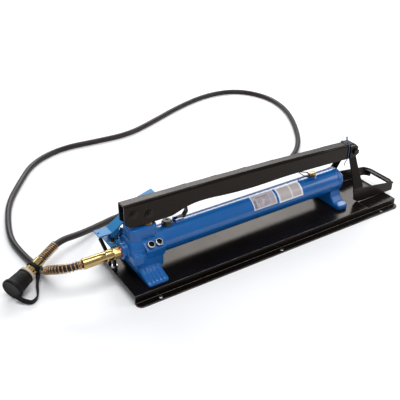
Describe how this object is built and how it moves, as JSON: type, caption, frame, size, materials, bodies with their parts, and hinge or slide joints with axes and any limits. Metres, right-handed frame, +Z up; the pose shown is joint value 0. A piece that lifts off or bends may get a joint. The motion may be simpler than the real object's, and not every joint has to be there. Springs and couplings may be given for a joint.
{
  "type": "foot-operated hydraulic pump",
  "caption": "Foot-operated hydraulic pump on a steel base: stirrup lever, cast head, tube reservoir, release pedal and a high-pressure hose with a capped coupler.",
  "frame": {"origin": "centre of the base plate's four corner fixing holes, on the floor plane", "axes": "+X from the hose end towards the pedal, +Z up, +Y to the left when facing +X"},
  "size_m": [1.0341, 0.8206, 0.1735],
  "materials": {
    "black_base": "satin black enamel",
    "blue_paint": "glossy blue enamel",
    "light_blue_paint": "satin light blue enamel",
    "black_lever": "gloss black enamel",
    "steel": "bright ground steel",
    "zinc": "zinc plated",
    "chrome": "hard chrome",
    "dark_steel": "blackened spring steel",
    "brass": "polished brass",
    "copper": "copper washer",
    "hose_rubber": "smooth rubber hose",
    "black_rubber": "moulded rubber",
    "seal_rubber": "nitrile seal",
    "cream_plastic": "moulded plastic",
    "grey_plastic": "moulded plastic",
    "blue_wire": "plastic coated wire",
    "label": "printed film"
  },
  "bodies": {
    "frame": {"base_plate": "black_base", "head_bolts": "zinc", "rear_bolts": "zinc", "pump_head": "blue_paint", "gland_nut": "brass", "piston_seal": "seal_rubber", "valve_plugs": "zinc", "discharge_ball": "steel", "relief_ball": "steel", "discharge_spring": "dark_steel", "relief_spring": "dark_steel", "suction_ball": "steel", "reservoir_tube": "blue_paint", "rear_cap": "blue_paint", "tie_rod": "blue_paint", "tie_rod_nut": "blue_paint", "front_seal": "seal_rubber", "rear_seal": "seal_rubber", "suction_tube": "steel", "suction_strainer": "brass", "filler_boss": "blue_paint", "vent_plug": "grey_plastic", "latch_block": "blue_paint", "latch_pin": "dark_steel", "release_bracket": "light_blue_paint", "bracket_screws": "zinc", "bracket_stud": "dark_steel", "bracket_nuts": "zinc", "spring_anchor": "dark_steel", "release_valve": "zinc", "outlet_adapter": "brass", "outlet_washer": "copper", "hose_ferrule": "brass", "hose_guard": "brass", "hose": "hose_rubber", "coupler_guard": "brass", "coupler_ferrule": "brass", "coupler_body": "brass", "cap_strap": "black_rubber", "label_left": "label", "label_right": "label"},
    "lever": {"lever_channel": "black_lever", "pedal_frame": "black_lever", "pedal_bolts": "dark_steel", "lever_tie": "blue_wire", "pivot_pin": "dark_steel", "pivot_clips": "dark_steel"},
    "piston": {"piston": "chrome", "piston_pin": "dark_steel", "piston_pin_clips": "dark_steel"},
    "release_pedal": {"release_pedal": "light_blue_paint", "release_spring": "dark_steel", "release_pivot_pin": "zinc"},
    "release_pin": {"release_pin": "dark_steel"},
    "filler_plug": {"filler_plug": "brass"},
    "filler_bail": {"filler_bail": "zinc"},
    "storage_latch": {"storage_latch": "dark_steel"},
    "coupler_collar": {"coupler_collar": "cream_plastic"},
    "dust_cap": {"dust_cap": "black_rubber"}
  },
  "joints": [
    {"name": "lever_hinge", "type": "hinge", "parent": "frame", "child": "lever", "pos_m": [-0.301, 0, 0.15], "axis": [0, -1, 0], "range_deg": [0, 30]},
    {"name": "piston_slide", "type": "slide", "parent": "frame", "child": "piston", "axis": [0, 0, 1], "range_m": [0, 0.0172]},
    {"name": "release_pedal_hinge", "type": "hinge", "parent": "frame", "child": "release_pedal", "pos_m": [-0.322, 0.043, 0.088], "axis": [0, 1, 0], "range_deg": [0, 12], "stiffness_Nm_per_rad": 2.4, "springref_deg": -8.59, "deforming": ["release_spring"]},
    {"name": "release_pin_slide", "type": "slide", "parent": "frame", "child": "release_pin", "axis": [0, 0, -1], "range_m": [0, 0.0051]},
    {"name": "filler_plug_turn", "type": "hinge", "parent": "frame", "child": "filler_plug", "pos_m": [0.145, 0, 0.1005], "axis": [0, 0, 1], "continuous": true},
    {"name": "filler_bail_hinge", "type": "hinge", "parent": "frame", "child": "filler_bail", "pos_m": [0.143, 0, 0.0997], "axis": [0, 1, 0], "range_deg": [0, 32]},
    {"name": "storage_latch_hinge", "type": "hinge", "parent": "frame", "child": "storage_latch", "pos_m": [-0.2, 0, 0.1025], "axis": [0, 1, 0], "range_deg": [0, 20]},
    {"name": "coupler_collar_turn", "type": "hinge", "parent": "frame", "child": "coupler_collar", "pos_m": [-0.48893, 0.08307, 0.02827], "axis": [0.8429, 0.5232, 0.1254], "continuous": true},
    {"name": "dust_cap_pull", "type": "slide", "parent": "frame", "child": "dust_cap", "axis": [-0.8429, -0.5232, -0.1254], "range_m": [0, 0.04]}
  ],
  "couplings": [
    {"joint": "piston_slide", "follows": "lever_hinge", "m_per_rad": 0.03275},
    {"joint": "release_pin_slide", "follows": "release_pedal_hinge", "m_per_rad": 0.0243}
  ]
}
